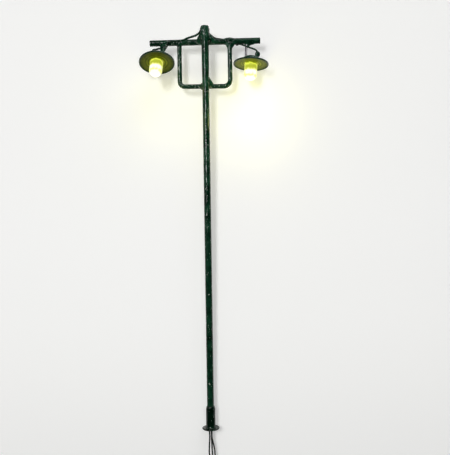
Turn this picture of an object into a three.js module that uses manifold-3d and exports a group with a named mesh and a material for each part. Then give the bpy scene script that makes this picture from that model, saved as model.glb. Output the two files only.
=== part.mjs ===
// Twin-headed yard lamp for a model railway: a brass tube mast with a crossbar and a soldered loop at
// its head, two light-emitting diodes hung by their own legs under dished shades, and three thin wires
// that leave through the foot of the mast.
// Millimetres, +Z up, +X to the right when the crossbar is seen behind the mast, so the viewer is at -Y.
// The origin is the centre of the flange's underside, on the mast's axis.

import * as THREE from 'three';
import { mergeVertices } from 'three/addons/utils/BufferGeometryUtils.js';
import Module from 'manifold-3d';

// ---------------------------------------------------------------- driving dimensions

const FIT_GAP = 0.03;            // solder film between two pieces that are fitted together
const SIDES = 24;                // facets round the larger turned pieces
const SLIVER = 0.004;            // edges shorter than this are merged after a cut
const SLACK = 0.02;              // extra room between pieces that only pass each other
const WIRE_SIDES = 8;

const MAST_RADIUS = 0.75;
const BORE_RADIUS = 0.55;
const MAST_TOP = 92.5;           // the open end of the tube
const SEAL_TOP = 93.2;           // highest point of the sealant over the tube's mouth

const FLANGE_RADIUS = 2.0;
const FLANGE_THICKNESS = 0.32;
const SLEEVE_RADIUS = 1.03;
const SLEEVE_TOP = 4.75;         // where the full diameter ends
const SLEEVE_TAPER = 0.55;

const BAR_RADIUS = 0.65;
const BAR_LEFT = -12.95;
const BAR_RIGHT = 12.85;
const BAR_Z = 89.92;             // where the bar's axis passes behind the mast
const BAR_SLOPE = Math.tan(THREE.MathUtils.degToRad(0.7));
const BAR_Y = MAST_RADIUS + BAR_RADIUS + FIT_GAP;

const LOOP_ROD_RADIUS = 0.49;
const LOOP_Y = MAST_RADIUS + LOOP_ROD_RADIUS + FIT_GAP;
const LOOP_LEFT = -6.05;
const LOOP_RIGHT = 5.72;
const LOOP_FOOT_Z = 79.5;
const LOOP_BEND_LEFT = 1.2;
const LOOP_BEND_RIGHT = 1.45;

// The two lamps hang from the bar by one leg each. lean turns the lamp about the bar, so that its light
// comes forward. roll lowers its right-hand side. hanger is the side of the leg that is soldered to the bar.
// bend is how far that leg is pushed sideways above the diode. A shade can sit askew on its diode: it has
// a lean and a roll of its own, and drops a little to make room.
const LAMPS = {
  left: {
    x: -11.15, z: 84.6, lean: 24.4, roll: 4.2, hanger: 1, bend: -0.36,
    shade: { lean: 22, roll: -0.4, drop: 0.18 },
  },
  right: {
    x: 10.59, z: 84.27, lean: 5.3, roll: 3.6, hanger: -1, bend: 0,
    shade: { lean: 5.3, roll: 3.6, drop: 0 },
  },
};

const SHADE_RADIUS = 4.12;
const SHADE_LIP = 0.46;          // height of the turned-down lip
const SHADE_CEILING = 0.2;       // depth of the dish
const SHADE_HOLE = 1.55;
const SHADE_MIDDLE = 0.42;       // height of the hole's middle, about which a shade sits askew

const LED_RADIUS = 1.5;
const LED_FLANGE_RADIUS = 1.8;
const LED_FLANGE = 1.0;
const LED_HEIGHT = 5.3;          // flange face to the tip of the lens
const LED_SEAT = 0.58;           // the flange's seat on the shade, above the rim
const LEG_OFFSET = 1.27;         // half of the standard 2.54 mm pitch
const LEG_WIDTH = 0.5;
const LEG_THICKNESS = 0.45;

const WIRE_RADIUS = 0.175;
const CORE_RADIUS = 0.09;        // bare copper inside the enamel
const TIP_RADIUS = 0.13;         // tinned end of a free wire
const TIP_LENGTH = 2;

// The free wires are put away as a hank: an oval of turns, drawn in at its waist by a tie.
const HANK_Z = -15.9;
const HANK_RUN = 40 * WIRE_RADIUS; // straight part between the two folds
const HANK_INNER = 2.2;
const HANK_OUTER = 4.08;
const HANK_DEPTH = 1.12;
const HANK_WAIST = 1.5;          // how far the tie draws each side in

// ---------------------------------------------------------------- materials

const paint = { color: 0x12281c, roughness: 0.3, metalness: 0.1 };
const enamel = { color: 0x141614, roughness: 0.35, metalness: 0.0 };
const tin = { color: 0xb9b8b4, roughness: 0.3, metalness: 1.0 };
const lens = { color: 0xf5f0a8, roughness: 0.1, metalness: 0.0 };
const phosphor = { color: 0xf0d24a, roughness: 0.6, metalness: 0.0 };
const band = { color: 0x1a1a1a, roughness: 0.6, metalness: 0.0 };

// ---------------------------------------------------------------- helpers

const wasm = await Module();
wasm.setup();

const root = new THREE.Group();

function vec(x, y, z) {
  return new THREE.Vector3(x, y, z);
}

// Turns a geometry the right way out if its faces point in.
function outward(geometry) {
  const plain = geometry.index ? geometry.toNonIndexed() : geometry;
  const p = plain.getAttribute('position');
  const a = vec(0, 0, 0);
  const b = vec(0, 0, 0);
  const c = vec(0, 0, 0);
  let volume = 0;
  for (let i = 0; i < p.count; i += 3) {
    a.fromBufferAttribute(p, i);
    b.fromBufferAttribute(p, i + 1);
    c.fromBufferAttribute(p, i + 2);
    volume += a.dot(b.cross(c));
  }
  if (volume < 0) {
    for (let i = 0; i < p.count; i += 3) {
      b.fromBufferAttribute(p, i + 1);
      c.fromBufferAttribute(p, i + 2);
      p.setXYZ(i + 1, c.x, c.y, c.z);
      p.setXYZ(i + 2, b.x, b.y, b.z);
    }
  }
  plain.deleteAttribute('normal');
  plain.deleteAttribute('uv');
  return mergeVertices(plain, 1e-5);
}

function toSolid(geometry) {
  const g = outward(geometry);
  return new wasm.Manifold(new wasm.Mesh({
    numProp: 3,
    vertProperties: new Float32Array(g.getAttribute('position').array),
    triVerts: new Uint32Array(g.index.array),
  }));
}

function toGeometry(solid) {
  const mesh = solid.getMesh();
  const g = new THREE.BufferGeometry();
  g.setAttribute('position', new THREE.BufferAttribute(new Float32Array(mesh.vertProperties), 3));
  g.setIndex(new THREE.BufferAttribute(new Uint32Array(mesh.triVerts), 1));
  return g;
}

function joined(geometries) {
  return geometries.map(toSolid).reduce((sum, next) => sum.add(next));
}

// The pieces joined into one, less everything that the cutters fill. Chips that the cut leaves are dropped.
function cut(geometries, cutters) {
  const rest = cutters.reduce((solid, c) => solid.subtract(toSolid(c)), joined(geometries));
  const bodies = rest.simplify(SLIVER).decompose().sort((a, b) => b.volume() - a.volume());
  return toGeometry(bodies[0]);
}

// A turned piece about Z. The profile is [radius, height] pairs.
function turned(profile, sides = SIDES) {
  const g = new THREE.LatheGeometry(profile.map(([r, z]) => new THREE.Vector2(r, z)), sides);
  return g.rotateX(Math.PI / 2);
}

// A turned ring: the profile closes on itself.
function ring(profile, sides = SIDES) {
  return turned([...profile, profile[0]], sides);
}

function rod(from, to, radius, sides = 16) {
  const along = to.clone().sub(from);
  const g = new THREE.CylinderGeometry(radius, radius, along.length(), sides);
  g.applyQuaternion(new THREE.Quaternion().setFromUnitVectors(vec(0, 1, 0), along.normalize()));
  return g.translate(...from.clone().add(to).multiplyScalar(0.5).toArray());
}

function ball(centre, radii, sides = 12) {
  const g = new THREE.SphereGeometry(1, sides, sides / 2);
  return g.scale(...radii).translate(...centre);
}

// A route through hand-placed points, whose steps are counted between points, not along the length,
// so a straight run takes few of them.
class Route extends THREE.CatmullRomCurve3 {
  getUtoTmapping(u) {
    return u;
  }
}

function tube(points, radius, stepsBetween = 2, sides = WIRE_SIDES) {
  const section = new THREE.Shape();
  for (let i = 0; i < sides; i++) {
    const a = (2 * Math.PI * i) / sides;
    const place = [radius * Math.cos(a), radius * Math.sin(a)];
    if (i === 0) section.moveTo(...place);
    else section.lineTo(...place);
  }
  section.closePath();
  return new THREE.ExtrudeGeometry(section, {
    steps: stepsBetween * (points.length - 1),
    bevelEnabled: false,
    extrudePath: new Route(points, false, 'centripetal'),
  });
}

function plate(outline, thickness) {
  const g = new THREE.ExtrudeGeometry(new THREE.Shape(outline.map(([x, z]) => new THREE.Vector2(x, z))), {
    depth: thickness,
    bevelEnabled: false,
  });
  return g.translate(0, 0, -thickness / 2).rotateX(Math.PI / 2);
}

function add(parent, name, geometry, finish) {
  const mesh = new THREE.Mesh(outward(geometry), new THREE.MeshStandardMaterial(finish));
  mesh.name = name;
  parent.add(mesh);
  return mesh;
}

// ---------------------------------------------------------------- mast and base

add(root, 'mast_tube', ring([
  [BORE_RADIUS, 0], [MAST_RADIUS, 0], [MAST_RADIUS, MAST_TOP], [BORE_RADIUS, MAST_TOP],
]), paint);

const seat = MAST_RADIUS + FIT_GAP;
const chamfer = 0.06;
add(root, 'base_flange', ring([
  [seat, 0], [FLANGE_RADIUS, 0], [FLANGE_RADIUS, FLANGE_THICKNESS - chamfer],
  [FLANGE_RADIUS - chamfer, FLANGE_THICKNESS], [seat, FLANGE_THICKNESS],
]), paint);

const sleeveFoot = FLANGE_THICKNESS + FIT_GAP;
add(root, 'base_sleeve', ring([
  [seat, sleeveFoot], [SLEEVE_RADIUS, sleeveFoot], [SLEEVE_RADIUS, SLEEVE_TOP],
  [seat + 0.05, SLEEVE_TOP + SLEEVE_TAPER], [seat, SLEEVE_TOP + SLEEVE_TAPER],
]), paint);

const filletFoot = FLANGE_THICKNESS + 0.01;
const filletRadius = 0.3;
const filletInner = SLEEVE_RADIUS + 0.02;
const fillet = [[filletInner, filletFoot]];
for (let i = 0; i <= 4; i++) {
  const a = (Math.PI / 2) * (i / 4);
  fillet.push([
    filletInner + filletRadius * (1 - Math.sin(a)) + 0.03,
    filletFoot + filletRadius * (1 - Math.cos(a)) + (i ? 0.03 : 0),
  ]);
}
fillet.push([filletInner, filletFoot + filletRadius + 0.03]);
add(root, 'base_solder', ring(fillet), paint);

// ---------------------------------------------------------------- crossbar and loop

function barPoint(x) {
  return vec(x, BAR_Y, BAR_Z + x * BAR_SLOPE);
}

function barShape(radius) {
  return rod(barPoint(BAR_LEFT), barPoint(BAR_RIGHT), radius, 20);
}

add(root, 'crossbar', barShape(BAR_RADIUS), paint);

// The loop is one bent rod: down, across behind the mast, and up. Its ends stop at the bar's underside.
function loopTop(x) {
  const drop = Math.sqrt((BAR_RADIUS + FIT_GAP) ** 2 - (LOOP_Y - BAR_Y) ** 2);
  return barPoint(x).z - drop - SLACK;
}

const quarters = [0, 0.25, 0.5, 0.75, 1];

function loopShape(radius) {
  const bend = (cx, r, from) => quarters.map((t) => {
    const a = from + (Math.PI / 2) * t;
    return vec(cx + r * Math.cos(a), LOOP_Y, LOOP_FOOT_Z + r + r * Math.sin(a));
  });
  return tube([
    vec(LOOP_LEFT, LOOP_Y, loopTop(LOOP_LEFT)),
    ...bend(LOOP_LEFT + LOOP_BEND_LEFT, LOOP_BEND_LEFT, Math.PI),
    ...bend(LOOP_RIGHT - LOOP_BEND_RIGHT, LOOP_BEND_RIGHT, -Math.PI / 2),
    vec(LOOP_RIGHT, LOOP_Y, loopTop(LOOP_RIGHT)),
  ], radius, 1, 12);
}

add(root, 'loop_frame', loopShape(LOOP_ROD_RADIUS), paint);

// ---------------------------------------------------------------- lamps

function leaning({ lean, roll }) {
  return new THREE.Euler(THREE.MathUtils.degToRad(-lean), THREE.MathUtils.degToRad(roll), 0);
}

// A lamp's own frame: the origin is where the centre of a square-set shade's rim lies, and +Z runs up to
// the bar. The legs are straight, so the lamp sits where its hanging leg, drawn on, meets the bar's axis.
function lampFrame(side) {
  const lamp = LAMPS[side];
  const frame = new THREE.Group();
  frame.rotation.copy(leaning(lamp));
  const up = vec(0, 0, 1).applyEuler(frame.rotation);
  const foot = vec(lamp.hanger * LEG_OFFSET, 0, 0).applyEuler(frame.rotation).add(vec(lamp.x, 0, lamp.z));
  const reach = (barPoint(foot.x).z - foot.z) / (up.z - BAR_SLOPE * up.x);
  frame.position.set(lamp.x, BAR_Y - foot.y - reach * up.y, lamp.z);
  frame.updateMatrixWorld(true);
  root.add(frame);
  return { ...lamp, frame, reach };
}

const lamps = { left: lampFrame('left'), right: lampFrame('right') };

const SHADE_PROFILE = [
  [SHADE_HOLE, SHADE_CEILING + 0.08], [3.5, SHADE_CEILING], [SHADE_RADIUS - 0.24, 0.03],
  [SHADE_RADIUS - 0.06, 0], [SHADE_RADIUS, 0.1], [SHADE_RADIUS - 0.03, SHADE_LIP - 0.1],
  [SHADE_RADIUS - 0.2, SHADE_LIP], [LED_FLANGE_RADIUS + 0.1, LED_SEAT - 0.03], [SHADE_HOLE, LED_SEAT - 0.03],
];

const BODY_TOP = LED_SEAT + LED_FLANGE;
const DOME_Z = LED_SEAT + LED_FLANGE - LED_HEIGHT + LED_RADIUS;
const CUP_Z = DOME_Z + 0.35;     // underside of the reflector cup, where the light leaves
const CUP_HEIGHT = 0.7;
const CUP_RADIUS = 0.55;
const POST_Z = LED_SEAT + 0.35;  // where the leads step in from the legs to the posts

// The lead with the cup carries the diode. It is the leg that hangs the lamp, bent between two heights.
const BEND_LOW = BODY_TOP + 0.2;
const BEND_HIGH = BODY_TOP + 1.1;

function cupLead(hanger, legTop, grow, bend = 0) {
  const s = hanger;
  const w = LEG_WIDTH / 2 + grow;
  const outline = [
    [s * (LEG_OFFSET + w), BEND_LOW], [s * (LEG_OFFSET + w) + bend, BEND_HIGH],
    [s * (LEG_OFFSET + w) + bend, legTop], [s * (LEG_OFFSET - w) + bend, legTop],
    [s * (LEG_OFFSET - w) + bend, BEND_HIGH], [s * (LEG_OFFSET - w), BEND_LOW],
    [s * (LEG_OFFSET - w), POST_Z + 0.5 + grow], [s * (0.15 - grow), POST_Z + 0.5 + grow],
    [s * (0.15 - grow), CUP_Z + CUP_HEIGHT - 0.1], [s * (0.65 + grow), CUP_Z + CUP_HEIGHT - 0.1],
    [s * (0.65 + grow), POST_Z - grow], [s * (LEG_OFFSET + w), POST_Z - grow],
  ];
  return plate(outline, LEG_THICKNESS + 2 * grow);
}

function plainLead(hanger, legTop, grow) {
  const s = -hanger;
  const w = LEG_WIDTH / 2 + grow;
  const outline = [
    [s * (LEG_OFFSET + w), legTop], [s * (LEG_OFFSET - w), legTop],
    [s * (LEG_OFFSET - w), POST_Z + 0.3 + grow], [s * (0.75 - grow), POST_Z + 0.3 + grow],
    [s * (0.75 - grow), CUP_Z + 0.35 - grow], [s * (1.15 + grow), CUP_Z + 0.35 - grow],
    [s * (1.15 + grow), POST_Z - grow], [s * (LEG_OFFSET + w), POST_Z - grow],
  ];
  return plate(outline, LEG_THICKNESS + 2 * grow);
}

const cupProfile = [
  [0, CUP_Z + 0.45], [0.25, CUP_Z + 0.4], [CUP_RADIUS - 0.1, CUP_Z], [CUP_RADIUS, CUP_Z],
  [CUP_RADIUS, CUP_Z + CUP_HEIGHT], [0, CUP_Z + CUP_HEIGHT],
];
const FEED_LEG_TOP = 3.2;
const BALL_Z = 2.7;
const BALL_RADII = [0.55, 0.55, 0.74];
const BALL_OUT = 0.12;           // the solder ball sits a little outside its leg

function addLamp(side) {
  const { frame, reach, hanger, bend, shade } = lamps[side];
  const legTop = reach - BAR_RADIUS - FIT_GAP - SLACK;
  const name = (piece) => `lamp_${side}_${piece}`;

  const holder = new THREE.Group();
  holder.rotation.copy(leaning(shade));
  const holeCentre = vec(0, 0, SHADE_MIDDLE).applyEuler(holder.rotation);
  holder.position.copy(frame.localToWorld(vec(0, 0, SHADE_MIDDLE - shade.drop)).sub(holeCentre));
  root.add(holder);
  add(holder, name('shade'), ring(SHADE_PROFILE, 36), paint);

  const cupRoom = turned([
    [0, CUP_Z - 0.12], [CUP_RADIUS + SLACK, CUP_Z - 0.12],
    [CUP_RADIUS + SLACK, CUP_Z + CUP_HEIGHT + SLACK], [0, CUP_Z + CUP_HEIGHT + SLACK],
  ], 16);
  const domeSteps = [0, 1, 2, 3, 4, 5].map((i) => (Math.PI / 2) * (i / 5));
  const lensProfile = [
    ...domeSteps.map((a) => [LED_RADIUS * Math.sin(a), DOME_Z - LED_RADIUS * Math.cos(a)]),
    [LED_RADIUS, LED_SEAT], [LED_FLANGE_RADIUS, LED_SEAT], [LED_FLANGE_RADIUS, BODY_TOP], [0, BODY_TOP],
  ];
  add(frame, name('lens'), cut([turned(lensProfile)], [
    cupRoom, cupLead(hanger, BODY_TOP + 2, SLACK), plainLead(hanger, BODY_TOP + 2, SLACK),
  ]), lens);

  add(frame, name('cup_lead'), cut([cupLead(hanger, legTop, 0, bend), turned(cupProfile, 16)], []), tin);
  add(frame, name('feed_lead'), plainLead(hanger, FEED_LEG_TOP, 0), tin);
  add(frame, name('phosphor'), turned([
    [0, CUP_Z + 0.03], [CUP_RADIUS - 0.16, CUP_Z + 0.03], [0.24, CUP_Z + 0.36], [0, CUP_Z + 0.4],
  ], 12), phosphor);
}

addLamp('left');
addLamp('right');

// ---------------------------------------------------------------- wires held by the lamp

// A point on the outside of the bar: turn 0 is the front, 90 the top, 180 the back and 270 the underside.
function onBar(x, turn) {
  const away = BAR_RADIUS + WIRE_RADIUS + FIT_GAP;
  const a = THREE.MathUtils.degToRad(turn);
  return barPoint(x).add(vec(0, -away * Math.cos(a), away * Math.sin(a)));
}

function onLamp(side, x, y, z) {
  return lamps[side].frame.localToWorld(vec(x, y, z));
}

// Each feed wire starts in the solder ball on its lamp's free leg, follows the bar to the mast's open end
// and drops through the bore to the foot.
const WIRE_FOOT = 0.15;
const BORE_STOPS = [91.9, 91.4, 1.5, 0.8, WIRE_FOOT];
const leftInBore = [-0.3, -0.1];
const rightInBore = [0.2, 0.28];
const commonInBore = [0.15, -0.3];

function inBore([x, y], stops = BORE_STOPS) {
  return stops.map((z) => vec(x, y, z));
}

function ballCentre(side) {
  return onLamp(side, -lamps[side].hanger * (LEG_OFFSET + BALL_OUT), 0, BALL_Z);
}

const leftRoute = [
  ballCentre('left').add(vec(0.1, 0.15, 0.45)),
  ballCentre('left').add(vec(0.22, 0.3, 0.85)),
  vec(-11.4, 1.0, 88.25),
  vec(-10.5, 1.7, 88.68),
  vec(-9.65, 1.8, 88.9),
  vec(-9.05, 1.5, 88.93),
  onBar(-8.9, -55),
  onBar(-8.8, -18),
  onBar(-8.65, 6),
  onBar(-8.1, 12),
  onBar(-5.9, 16),
  onBar(-5.0, 32),
  vec(-4.2, 0.8, 90.65),
  vec(-3.2, 0.68, 90.93),
  vec(-2.2, 0.45, 91.17),
  vec(-1.45, 0.2, 91.57),
  vec(-1.05, 0.02, 92.08),
  vec(-0.97, -0.05, 92.6),
  vec(-0.72, -0.1, 92.9),
  vec(-0.42, -0.1, 92.75),
  ...inBore(leftInBore),
];

const rightRoute = [
  ballCentre('right').add(vec(-0.05, -0.02, 0.5)),
  ballCentre('right').add(vec(-0.25, -0.08, 0.82)),
  vec(11.35, 0.95, 87.98),
  vec(10.5, 0.7, 88.22),
  vec(9.5, 0.55, 88.55),
  vec(8.7, 0.75, 88.9),
  onBar(8.0, -72),
  onBar(7.4, -110),
  onBar(6.9, 195),
  onBar(6.0, 165),
  onBar(4.4, 130),
  onBar(3.2, 112),
  vec(2.3, 1.42, 90.84),
  vec(1.5, 1.3, 91.37),
  vec(1.0, 1.12, 91.82),
  vec(0.62, 0.92, 92.5),
  vec(0.38, 0.55, 92.85),
  vec(0.2, 0.3, 92.6),
  ...inBore(rightInBore),
];

add(root, 'lamp_left_wire', tube(leftRoute, WIRE_RADIUS), enamel);
add(root, 'lamp_right_wire', tube(rightRoute, WIRE_RADIUS), enamel);

// The return wire ends inside the foot of the mast, its bared core soldered to the bore's wall.
const COMMON_TOP = 2.6;
const CORE_TOP = COMMON_TOP + 1.2;
add(root, 'return_wire', cut([
  rod(vec(...commonInBore, WIRE_FOOT), vec(...commonInBore, COMMON_TOP), WIRE_RADIUS, WIRE_SIDES),
  rod(vec(...commonInBore, COMMON_TOP - 0.1), vec(...commonInBore, CORE_TOP), CORE_RADIUS, WIRE_SIDES),
], []), enamel);

// ---------------------------------------------------------------- solder

const mastCutter = rod(vec(0, 0, 0), vec(0, 0, MAST_TOP), MAST_RADIUS + FIT_GAP);
const barCutter = barShape(BAR_RADIUS + FIT_GAP);
const loopCutter = loopShape(LOOP_ROD_RADIUS + FIT_GAP);
const leftWireCutter = tube(leftRoute, WIRE_RADIUS + FIT_GAP);
const rightWireCutter = tube(rightRoute, WIRE_RADIUS + FIT_GAP);

// A turned lump of solder, stretched along X and Y and set down at a point.
function lump(profile, [sx, sy], [x, y], sides = 20) {
  return turned(profile, sides).scale(sx, sy, 1).translate(x, y, 0);
}

add(root, 'return_solder', cut(
  [ball([commonInBore[0] * 1.05, commonInBore[1] * 1.05, CORE_TOP - 0.55], [0.18, 0.18, 0.5])],
  [rod(vec(...commonInBore, 0), vec(...commonInBore, CORE_TOP + SLACK), CORE_RADIUS + 0.01, WIRE_SIDES)],
), tin);

add(root, 'mast_bar_solder', cut([lump([
  [0, 89.42], [0.85, 89.42], [1.3, 89.75], [1.42, 90.15], [1.1, 90.75], [0.86, 91.4], [0.72, 92.2], [0, 92.2],
], [1.4, 0.8], [0.3, 0.72])], [mastCutter, barCutter, leftWireCutter, rightWireCutter]), paint);

add(root, 'loop_foot_solder', cut([lump([
  [0, 78.6], [0.75, 78.6], [1.15, 79.05], [1.4, 79.55], [1.15, 80.1], [0.92, 80.8], [0.8, 81.5], [0, 81.5],
], [1.0, 0.8], [0.08, 0.64])], [mastCutter, loopCutter]), paint);

add(root, 'loop_left_solder', cut([lump([
  [0, 88.55], [LOOP_ROD_RADIUS + 0.08, 88.55], [0.78, 89.15], [0.82, 89.6], [0.6, 90.05], [0, 90.15],
], [1, 1], [LOOP_LEFT, LOOP_Y - 0.05])], [loopCutter, barCutter, leftWireCutter]), paint);

add(root, 'loop_right_solder', cut([
  lump([
    [0, 88.15], [LOOP_ROD_RADIUS + 0.08, 88.15], [0.7, 88.6], [1.1, 89.1], [1.15, 89.5], [0, 89.9],
  ], [1.15, 0.85], [LOOP_RIGHT, LOOP_Y - 0.05]),
  ball([LOOP_RIGHT - 0.1, BAR_Y, 89.98], [1.75, 0.95, 0.88]),
], [loopCutter, barCutter, rightWireCutter]), paint);

// The saddle of solder between the bar and the leg that hangs each lamp.
function addHangerSolder(side, width, depth) {
  const { frame, reach, hanger, bend } = lamps[side];
  const middle = hanger * LEG_OFFSET + bend;
  const top = reach - BAR_RADIUS * 0.55;
  const saddle = turned([
    [0, top - depth], [0.32, top - depth], [0.42, top - depth * 0.6], [0.62, top - depth * 0.3],
    [1, top], [0, top],
  ], 16).scale(width, 0.62, 1).translate(middle, 0, 0);
  saddle.applyMatrix4(frame.matrixWorld);
  const leg = plate([
    [-LEG_WIDTH / 2 - FIT_GAP, 0], [LEG_WIDTH / 2 + FIT_GAP, 0],
    [LEG_WIDTH / 2 + FIT_GAP, reach], [-LEG_WIDTH / 2 - FIT_GAP, reach],
  ], LEG_THICKNESS + 2 * FIT_GAP).translate(middle, 0, 0).applyMatrix4(frame.matrixWorld);
  add(root, `lamp_${side}_hanger_solder`,
    cut([saddle], [barCutter, leg, leftWireCutter, rightWireCutter]), paint);
}

addHangerSolder('left', 1.0, 1.55);
addHangerSolder('right', 1.6, 1.3);

// The ball of solder that joins each feed wire to its free leg.
function addBall(side) {
  const { frame, hanger } = lamps[side];
  const blob = ball([-hanger * (LEG_OFFSET + BALL_OUT), 0, BALL_Z], BALL_RADII);
  blob.applyMatrix4(frame.matrixWorld);
  const leg = plainLead(hanger, FEED_LEG_TOP + FIT_GAP, FIT_GAP).applyMatrix4(frame.matrixWorld);
  add(root, `lamp_${side}_feed_solder`, cut([blob], [leg, leftWireCutter, rightWireCutter]), paint);
}

addBall('left');
addBall('right');

// The sealant that closes the tube's mouth over the two wires.
add(root, 'mast_seal', cut([lump([
  [0, MAST_TOP + FIT_GAP], [0.78, MAST_TOP + FIT_GAP], [0.87, 92.7], [0.86, 93.05],
  [0.7, SEAL_TOP], [0, SEAL_TOP],
], [1.1, 0.97], [-0.05, 0.03])], [mastCutter, leftWireCutter, rightWireCutter]), paint);

// ---------------------------------------------------------------- free wires

// Each wire leaves the bore, fans out, and runs down to the outside of the hank.
const TAIL_START = -0.15;
const tails = {
  left: { bore: leftInBore, fan: -0.44, lane: -0.37 },
  return: { bore: commonInBore, fan: 0.23, lane: 0 },
  right: { bore: rightInBore, fan: 0.78, lane: 0.37 },
};
const TIP_X = 0.2;
const TIP_TOP = HANK_Z + 2.7;

function tailRoute({ bore: [x, y], fan, lane }) {
  return [
    vec(x, y, TAIL_START),
    vec(x, y, -1),
    vec(x * 0.95, y * 0.95, -2),
    vec(x + (fan - x) * 0.45, y * 0.6 + lane * 0.2, -3.3),
    vec(fan, y * 0.2 + lane * 0.6, -4.86),
    vec(fan + 0.12, lane * 0.9, -6.3),
    vec(fan * 0.5 + 0.62, lane, -7.5),
    vec(fan * 0.2 + 1.15, lane, -8.35),
  ];
}

for (const [name, tail] of Object.entries(tails)) {
  add(root, `wire_tail_${name}`, tube(tailRoute(tail), WIRE_RADIUS), enamel);
  add(root, `wire_tip_${name}`,
    rod(vec(TIP_X, tail.lane, TIP_TOP), vec(TIP_X, tail.lane, TIP_TOP - TIP_LENGTH), TIP_RADIUS, 8), tin);
}

// One closed outline of the hank at a given distance outside the centres of its two folds.
function hankOutline(radius) {
  const half = HANK_RUN / 2;
  const drawnIn = (z) => (HANK_WAIST / 2) * (1 + Math.cos((Math.PI * z) / half));
  const right = [];
  for (let i = 0; i <= 10; i++) {
    const z = -half + (HANK_RUN * i) / 10;
    right.push([radius - drawnIn(z), z]);
  }
  for (let i = 1; i < 8; i++) {
    const a = (Math.PI * i) / 8;
    right.push([radius * Math.cos(a), half + radius * Math.sin(a)]);
  }
  const left = right.map(([x, z]) => [-x, -z]);
  return [...right, ...left].map(([x, z]) => new THREE.Vector2(x, z));
}

const hankShape = new THREE.Shape(hankOutline(HANK_OUTER));
hankShape.holes.push(new THREE.Path(hankOutline(HANK_INNER)));
add(root, 'wire_hank', new THREE.ExtrudeGeometry(hankShape, { depth: HANK_DEPTH, bevelEnabled: false })
  .rotateX(Math.PI / 2).translate(0, HANK_DEPTH / 2, HANK_Z), enamel);

// The tie is an oval band round both sides of the waist.
const TIE_HEIGHT = 1;
const TIE_THICKNESS = 0.2;

function tieOutline(grow) {
  const x = HANK_OUTER - HANK_WAIST + 0.12 + grow;
  const y = HANK_DEPTH / 2 + 0.05 + grow;
  const round = 0.06 + grow;
  const corner = (cx, cy, from) => [0, 0.5, 1].map((t) => {
    const a = from + (Math.PI / 2) * t;
    return new THREE.Vector2(cx + round * Math.cos(a), cy + round * Math.sin(a));
  });
  return [
    ...corner(x - round, y - round, 0), ...corner(round - x, y - round, Math.PI / 2),
    ...corner(round - x, round - y, Math.PI), ...corner(x - round, round - y, -Math.PI / 2),
  ];
}

const tieShape = new THREE.Shape(tieOutline(TIE_THICKNESS));
tieShape.holes.push(new THREE.Path(tieOutline(0)));
add(root, 'hank_tie', new THREE.ExtrudeGeometry(tieShape, { depth: TIE_HEIGHT, bevelEnabled: false })
  .translate(0, 0, HANK_Z - TIE_HEIGHT / 2), band);

export default root;
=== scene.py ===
import math

import bmesh
import bpy
import numpy as np
from mathutils import Matrix, Vector, noise


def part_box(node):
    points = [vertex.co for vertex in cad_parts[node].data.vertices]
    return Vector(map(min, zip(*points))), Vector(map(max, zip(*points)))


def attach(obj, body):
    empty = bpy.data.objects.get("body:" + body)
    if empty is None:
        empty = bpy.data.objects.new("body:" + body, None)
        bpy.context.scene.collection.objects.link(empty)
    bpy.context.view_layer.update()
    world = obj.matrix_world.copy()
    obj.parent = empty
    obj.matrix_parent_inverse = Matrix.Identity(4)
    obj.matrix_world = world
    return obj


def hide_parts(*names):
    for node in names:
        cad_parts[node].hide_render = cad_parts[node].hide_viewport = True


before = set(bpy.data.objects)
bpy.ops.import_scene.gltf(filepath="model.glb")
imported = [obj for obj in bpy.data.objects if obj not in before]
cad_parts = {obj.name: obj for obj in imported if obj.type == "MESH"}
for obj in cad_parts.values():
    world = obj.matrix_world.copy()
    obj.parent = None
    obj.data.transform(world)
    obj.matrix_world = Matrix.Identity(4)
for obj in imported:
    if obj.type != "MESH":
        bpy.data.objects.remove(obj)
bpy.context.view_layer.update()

# Shapes are worked out in millimetres and set down in metres.
MM = 0.001


def shown(name, data):
    made = bpy.data.objects.new(name, data)
    bpy.context.scene.collection.objects.link(made)
    return made


# ---- camera

# The lamp is looked at square on, from level with the middle of its mast and a little to the right.
CAMERA_AWAY = 135
CAMERA_RIGHT = 3.97
CAMERA_UP = 46.48
CAMERA_ROLL = math.radians(0.87)
CAMERA_LENS = 46.14


def add_camera():
    data = bpy.data.cameras.new("camera")
    camera = shown("camera", data)
    data.sensor_width = 36
    data.lens = CAMERA_LENS
    data.clip_start, data.clip_end = 0.001, 5
    right = Vector((math.cos(CAMERA_ROLL), 0, -math.sin(CAMERA_ROLL)))
    up = Vector((math.sin(CAMERA_ROLL), 0, math.cos(CAMERA_ROLL)))
    turn = Matrix((right, up, right.cross(up))).transposed().to_4x4()
    place = Vector((CAMERA_RIGHT, -CAMERA_AWAY, CAMERA_UP)) * MM
    camera.matrix_world = Matrix.Translation(place) @ turn
    bpy.context.scene.camera = camera


add_camera()

# ---- material helpers

MIX_INPUTS = (0, 6, 7)  # a colour mix node's factor, first and second colour
MIX_RESULT = 2


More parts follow.
